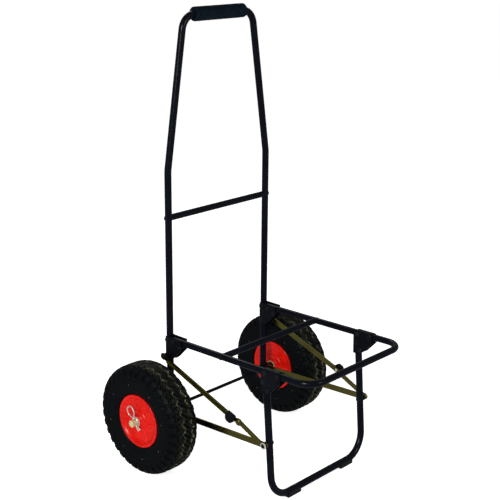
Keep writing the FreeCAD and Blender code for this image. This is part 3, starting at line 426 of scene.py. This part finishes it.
# Small moulding nubs round both flanks of each tyre, coloured pale grey as painted glints.
# Each is a dome whose height falls with its own radius squared.
def makeNubs(side, sign):
    around = np.arange(nubs["around"]) * 2 * pi / nubs["around"]
    out = np.array([1.0, 0.85, 0.5, 0.08])
    centre = np.array(wheel["centre"]) * (sign, 1, 1)
    grids = []
    for number in range(nubs["count"]):
        angle = (number + 0.3) / nubs["count"] * 2 * pi
        middle = centre + np.array([0, sin(angle), cos(angle)]) * nubs["at"]
        for flank in (-1, 1):
            x = flank * (nubs["standOut"] + nubs["radius"] * (1 - out ** 2) * nubs["rise"])
            x = np.repeat(x[:, None], nubs["around"], axis=1)
            ring = out[:, None] * nubs["radius"]
            grids.append(np.stack([x + middle[0], ring * np.sin(around) + middle[1],
                                   ring * np.cos(around) + middle[2]], axis=-1))
    gridPiece("mouldingNubs_" + side, grids, "wheel_" + side, "tyre_rubber", finish=paleGlintRubber)


# The nubs' pale grey is a painted glint on each small dome of black rubber.
paleGlintRubber = mouldedRubber("paintedGlintNubs", ((0.3, "5f605b"), (0.7, "8c8d86")), 0.6, 1.0)
for side, sign in sides:
    makeNubs(side, sign)

rivet = {"radius": 0.006, "height": 0.0024, "shank": 0.003, "innerFace": 0.1499, "around": 32}


# A dome: it stands out by the height times the root of one less the cube of the share of the radius.
def dome(radius, height, steps=9):
    out = np.sin(np.linspace(0.02, 1, steps) * pi / 2)
    return np.stack([height * np.sqrt(1 - np.clip(out, 0, 1) ** 3), out * radius], axis=1)


# A rivet along X from one face to another, turned from a dome, its shank and the dome at the far end.
def rivetGrid(start, end, y, z):
    cap = dome(rivet["radius"], rivet["height"])
    outer = cap + (end, 0)
    inner = cap[::-1] * (-1, 1) + (start, 0)
    neck = np.array([[end, rivet["shank"]], [start, rivet["shank"]]])
    return turned(np.concatenate([outer, neck, inner]), rivet["around"]) + np.array([0, y, z])


# Domed rivets in place of the plain ones, at the middle of each CAD rivet on both sides of the cart.
def makeRivets(node, body, spots=None):
    low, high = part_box(node)
    spots = spots or [((low.y + high.y) / 2, (low.z + high.z) / 2)]
    inner, outer = rivet["innerFace"], high.x - rivet["height"]
    grids = [rivetGrid(*sorted((sign * inner, sign * outer)), y, z) for sign in (-1, 1) for y, z in spots]
    piece = gridPiece(node + "_domed", grids, body, "dark_rivet", sharp=50)
    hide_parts(node)


low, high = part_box("front_bracket_rivets")
edge = rivet["radius"]
makeRivets("rear_bracket_rivets", "handle")
makeRivets("platform_pivot_pins", "handle")
makeRivets("platform_stop_pins", "handle")
makeRivets("leg_pivot_pins", "platform")
makeRivets("leg_stop_pins", "platform")
makeRivets("front_bracket_rivets", "platform", [(high.y - edge, low.z + edge), (low.y + edge, high.z - edge)])
print("rivets made")


bolt = {"washer": 0.0078, "head": 0.0048, "washerAt": 0.1797, "thick": 0.0013, "headHeight": 0.0026}


# Where the struts meet the leg: a bright washer with a rounded rim, a dark bolt head, and a shank behind.
def makeStrutBolt(side, sign):
    low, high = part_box("strut_bolt_" + side)
    y, z = (low.y + high.y) / 2, (low.z + high.z) / 2
    start, end = bolt["washerAt"], bolt["washerAt"] + bolt["thick"]
    ring = np.array([[end, 0.0042], [end, bolt["washer"] - 0.0008], [end - 0.0005, bolt["washer"]],
                     [start, bolt["washer"]], [start, 0.0042]])
    place = np.array([0, y, z])
    washer = gridPiece("strutWasher_" + side, turned(ring * (sign, 1), 48) + place, "upper_link_" + side,
                       "bright_zinc", closed=True)
    cap = dome(bolt["head"], bolt["headHeight"]) + (end, 0)
    back = min(abs(low.x), abs(high.x))
    shank = np.array([[end, 0.004], [back, 0.004]])
    head = gridPiece("strutBoltHead_" + side, turned(np.concatenate([cap, shank]) * (sign, 1), 40) + place,
                     "upper_link_" + side, "dark_rivet")
    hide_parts("strut_bolt_" + side)
    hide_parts("strut_bolt_" + side)


# The catch's pin: a small bright dome almost flush with the arm's inner face, so that the folded link clears
# it, and a low black head outside the catch.
def makeCatchPin(side, sign):
    low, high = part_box("catch_pin_" + side)
    place = np.array([0, (low.y + high.y) / 2, (low.z + high.z) / 2])
    inner, outer = sorted((abs(low.x), abs(high.x)))
    tip = dome(0.0033, 0.0002)[::-1] * (-1, 1) + (inner, 0)
    tip = np.concatenate([[[inner + 0.001, 0.0033]], tip])
    pinTip = gridPiece("catchPinTip_" + side, turned(tip * (sign, 1), 32) + place, "upper_arm_" + side,
                       "bright_zinc")
    cap = dome(0.004, 0.0012) + (outer - 0.0012, 0)
    shank = np.array([[outer - 0.0012, 0.002], [inner + 0.001, 0.002]])
    pin = gridPiece("catchPinHead_" + side, turned(np.concatenate([cap, shank]) * (sign, 1), 32) + place,
                    "upper_arm_" + side, "catch_plastic")
    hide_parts("catch_pin_" + side)
    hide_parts("catch_pin_" + side)


for side, sign in sides:
    makeStrutBolt(side, sign)
    makeCatchPin(side, sign)
print("bolts made")


# A large flat sheet well past the view, a hair below the lowest point of the cart.
# It isn't mirrored in the cart, which keeps black paint and rubber black.
def makeFloor():
    mesh = bpy.data.meshes.new("floor")
    reach, z = studio["floorReach"], -studio["floorDrop"]
    mesh.from_pydata([(-reach, -reach, z), (reach, -reach, z), (reach, reach, z), (-reach, reach, z)], [],
                     [(0, 1, 2, 3)])
    floor = bpy.data.objects.new("floor", mesh)
    bpy.context.scene.collection.objects.link(floor)
    material, tree, shader, place = startMaterial("paleFloor", Roughness=0.9,
                                                  Emission_Strength=studio["floorGlow"],
                                                  Emission_Color=linear(studio["floorColour"]))
    tree.links.new(colourRamp(tree, lumps(tree, place, 400), ((0.3, studio["floorColour"]), (0.7, "f9f9f9"))),
                   shader.inputs["Base Color"])
    mesh.materials.append(material)
    floor.visible_glossy = False


# A white wall far off on every side, which only the camera sees, so that a low view has no grey sky in it.
def makeWall():
    reach, height = studio["wallReach"], studio["wallHeight"]
    ring = [(-reach, -reach), (reach, -reach), (reach, reach), (-reach, reach)]
    mesh = bpy.data.meshes.new("wall")
    mesh.from_pydata([(x, y, z) for z in (0, height) for x, y in ring], [],
                     [(i, (i + 1) % 4, (i + 1) % 4 + 4, i + 4) for i in range(4)])
    wall = bpy.data.objects.new("wall", mesh)
    bpy.context.scene.collection.objects.link(wall)
    material = startMaterial("paleWall", Roughness=1.0, Emission_Strength=1.0,
                             Emission_Color=linear("fdfdfd"))[0]
    mesh.materials.append(material)
    wall.visible_diffuse = wall.visible_glossy = wall.visible_shadow = False


lights = {"keyLight": {"place": (-2.7, -0.9, 1.9), "aim": (0, 0, 0.4), "size": (0.5, 0.9), "power": 70},
          "fillLight": {"place": (0.6, -3.2, 1.9), "aim": (0, 0, 0.3), "size": (0.9, 0.6), "power": 30},
          "backLight": {"place": (1.2, 2.2, 2.4), "aim": (0, 0, 0.5), "size": (1.4, 0.8), "power": 12}}


# A rectangular soft light that faces the point it is aimed at.
def makeLight(name, place, aim, size, power):
    lamp = bpy.data.lights.new(name, "AREA")
    lamp.shape = "RECTANGLE"
    lamp.size, lamp.size_y = size
    lamp.energy = power
    light = bpy.data.objects.new(name, lamp)
    light.location = place
    light.rotation_euler = (Vector(aim) - Vector(place)).to_track_quat("-Z", "Y").to_euler()
    bpy.context.scene.collection.objects.link(light)


# Soft light from all round, so that the floor and what is behind it stay nearly white.
def makeSky():
    world = bpy.data.worlds.new("studio")
    world.use_nodes = True
    back = world.node_tree.nodes["Background"]
    back.inputs["Color"].default_value = linear(studio["skyColour"])
    back.inputs["Strength"].default_value = studio["skyStrength"]
    bpy.context.scene.world = world


# The camera's axes: its back points from the object to it, its right lies level before the roll turns it.
def makeCamera():
    turn, rise, roll = (radians(camera[key]) for key in ("azimuth", "elevation", "roll"))
    back = Vector((sin(turn) * cos(rise), -cos(turn) * cos(rise), sin(rise)))
    right = Vector((cos(turn), sin(turn), 0))
    up = back.cross(right)
    right, up = right * cos(roll) + up * sin(roll), up * cos(roll) - right * sin(roll)
    lens = bpy.data.cameras.new("camera")
    lens.lens = camera["lens"]
    eye = bpy.data.objects.new("camera", lens)
    eye.matrix_world = Matrix.Translation(camera["place"]) @ Matrix((right, up, back)).transposed().to_4x4()
    bpy.context.scene.collection.objects.link(eye)
    bpy.context.scene.camera = eye


makeFloor()
makeWall()
makeSky()
for name, settings in lights.items():
    makeLight(name, **settings)
makeCamera()
bpy.context.scene.view_settings.view_transform = "Standard"
print("studio made")
